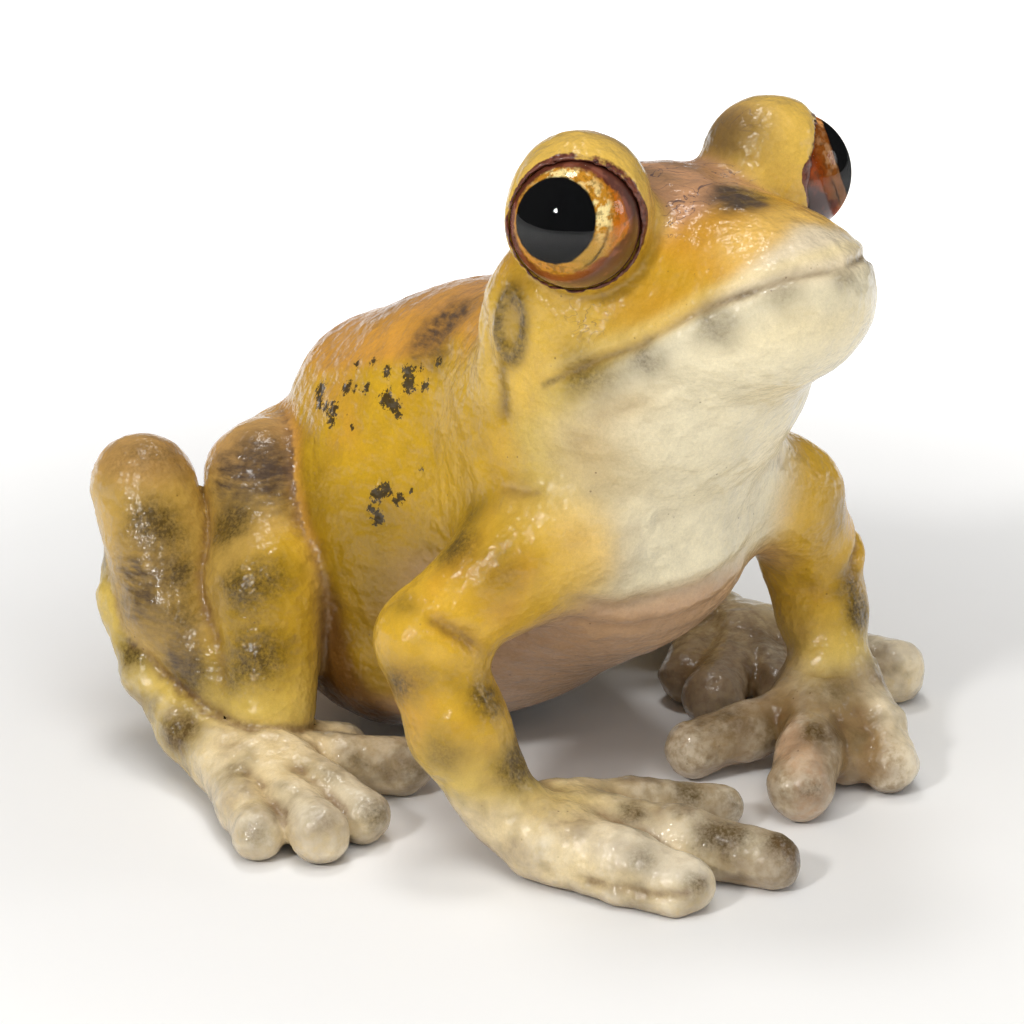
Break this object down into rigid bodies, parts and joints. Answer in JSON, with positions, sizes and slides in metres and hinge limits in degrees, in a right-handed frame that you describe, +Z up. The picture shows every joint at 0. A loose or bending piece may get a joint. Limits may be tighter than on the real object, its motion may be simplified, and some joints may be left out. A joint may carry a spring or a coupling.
{
  "type": "frog figurine",
  "caption": "Sitting tree frog figurine, hand-painted cast resin under gloss varnish, with head raised, splayed toes and inset glass-domed eyes.",
  "frame": {"origin": "centre of the bounding box at the ground plane under the feet", "axes": "+Z up, the frog faces -Y, its right side is -X"},
  "size_m": [0.0966, 0.098, 0.0856],
  "materials": {
    "painted_body": "yellow-ochre and orange-brown hand paint, cream throat, gloss varnish",
    "painted_limb": "yellow-ochre paint with soft olive-dark bands, gloss varnish",
    "painted_foot": "grey-beige paint with dark tips, gloss varnish",
    "eye_paint": "black pupil, gold-leaf ring, brown rim",
    "eye_glass": "clear polished dome",
    "pin_steel": "cut wire",
    "plug_rubber": "soft black rubber"
  },
  "bodies": {
    "root": {"torso_shell": "painted_body", "pour_plug": "plug_rubber", "forelimb_right": "painted_limb", "forelimb_left": "painted_limb", "hind_leg_right": "painted_limb", "hind_leg_left": "painted_limb", "hind_foot_right": "painted_foot", "hind_foot_left": "painted_foot", "shoulder_pin_right": "pin_steel", "shoulder_pin_left": "pin_steel", "hip_pin_right": "pin_steel", "hip_pin_left": "pin_steel", "foot_pin_right": "pin_steel", "foot_pin_left": "pin_steel", "eyeball_right": "eye_paint", "eyeball_left": "eye_paint", "eye_lens_right": "eye_glass", "eye_lens_left": "eye_glass"}
  },
  "joints": []
}
